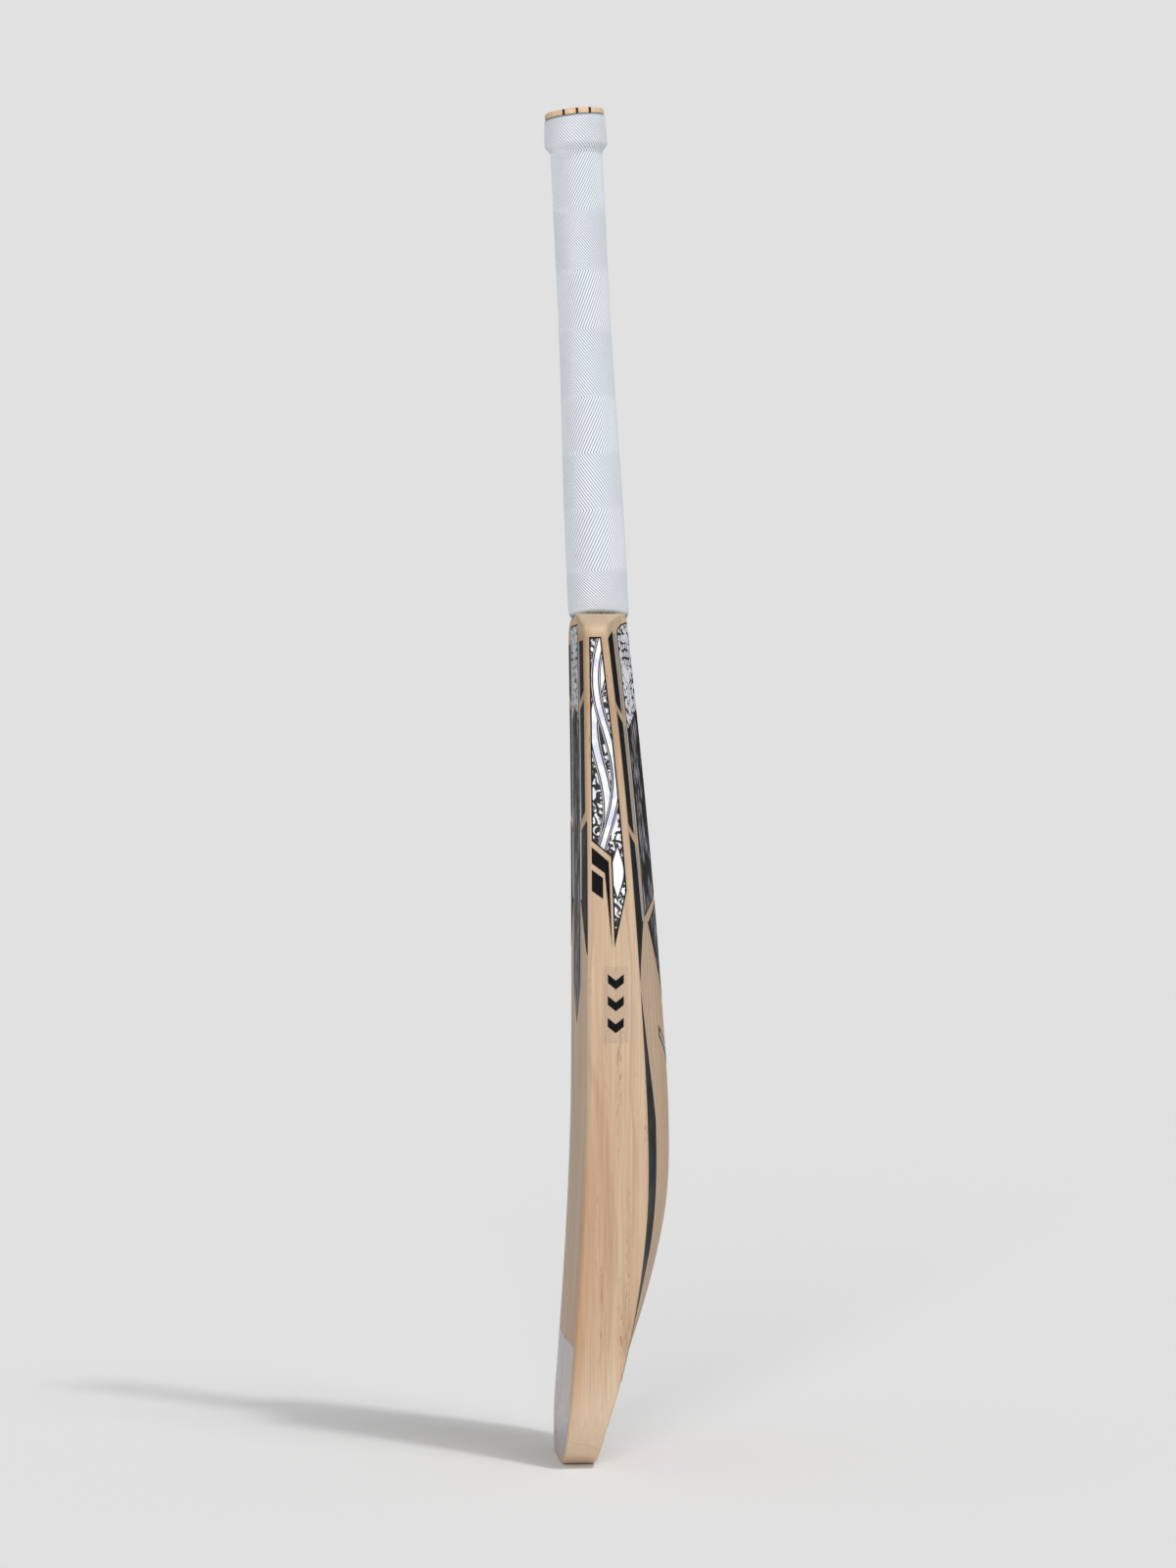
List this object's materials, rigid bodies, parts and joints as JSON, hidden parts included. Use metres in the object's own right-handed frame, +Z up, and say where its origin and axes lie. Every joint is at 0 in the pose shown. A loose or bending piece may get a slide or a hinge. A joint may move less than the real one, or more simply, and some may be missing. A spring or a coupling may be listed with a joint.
{
  "type": "cricket bat",
  "caption": "Full size cricket bat: willow blade with a spine and a bowed face, laminated cane handle spliced into its shoulders, ribbed rubber grip and edge, face and back stickers.",
  "frame": {"origin": "the middle of the toe's flat end", "axes": "+Z up from the toe to the handle, -Y out of the striking face, X across the width"},
  "size_m": [0.1082, 0.0793, 0.8509],
  "materials": {
    "willow": "satin",
    "cane": "matte",
    "strip_rubber": "matte",
    "twine": "matte",
    "grip_rubber": "satin",
    "label_print": "satin",
    "black_sticker": "satin",
    "silver_sticker": "gloss",
    "clear_film": "satin"
  },
  "bodies": {
    "root": {"blade": "willow", "cane_slip_1_1": "cane", "cane_slip_1_2": "cane", "cane_slip_1_3": "cane", "cane_slip_2_1": "cane", "cane_slip_2_2": "cane", "cane_slip_2_3": "cane", "cane_slip_3_1": "cane", "cane_slip_3_2": "cane", "cane_slip_3_3": "cane", "cane_slip_4_1": "cane", "cane_slip_4_2": "cane", "cane_slip_4_3": "cane", "rubber_strip_1": "strip_rubber", "rubber_strip_2": "strip_rubber", "rubber_strip_3": "strip_rubber", "twine_binding": "twine", "grip": "grip_rubber", "edge_label_right": "label_print", "edge_label_left": "label_print", "edge_hook_right": "black_sticker", "edge_hook_left": "black_sticker", "edge_tab_right": "black_sticker", "edge_tab_left": "black_sticker", "edge_badge_right": "clear_film", "edge_badge_left": "clear_film", "front_band_1_right": "black_sticker", "front_band_1_left": "black_sticker", "front_band_2_right": "black_sticker", "front_band_2_left": "black_sticker", "front_band_3_right": "black_sticker", "front_band_3_left": "black_sticker", "back_band_1_right": "black_sticker", "back_band_1_left": "black_sticker", "back_band_2_right": "black_sticker", "back_band_2_left": "black_sticker", "back_band_3_right": "black_sticker", "back_band_3_left": "black_sticker", "back_dart_right": "black_sticker", "back_dart_left": "black_sticker", "back_stripe_right": "black_sticker", "back_stripe_left": "black_sticker", "face_sticker": "label_print", "back_sticker": "label_print", "back_badge": "silver_sticker", "toe_film": "clear_film"}
  },
  "joints": []
}
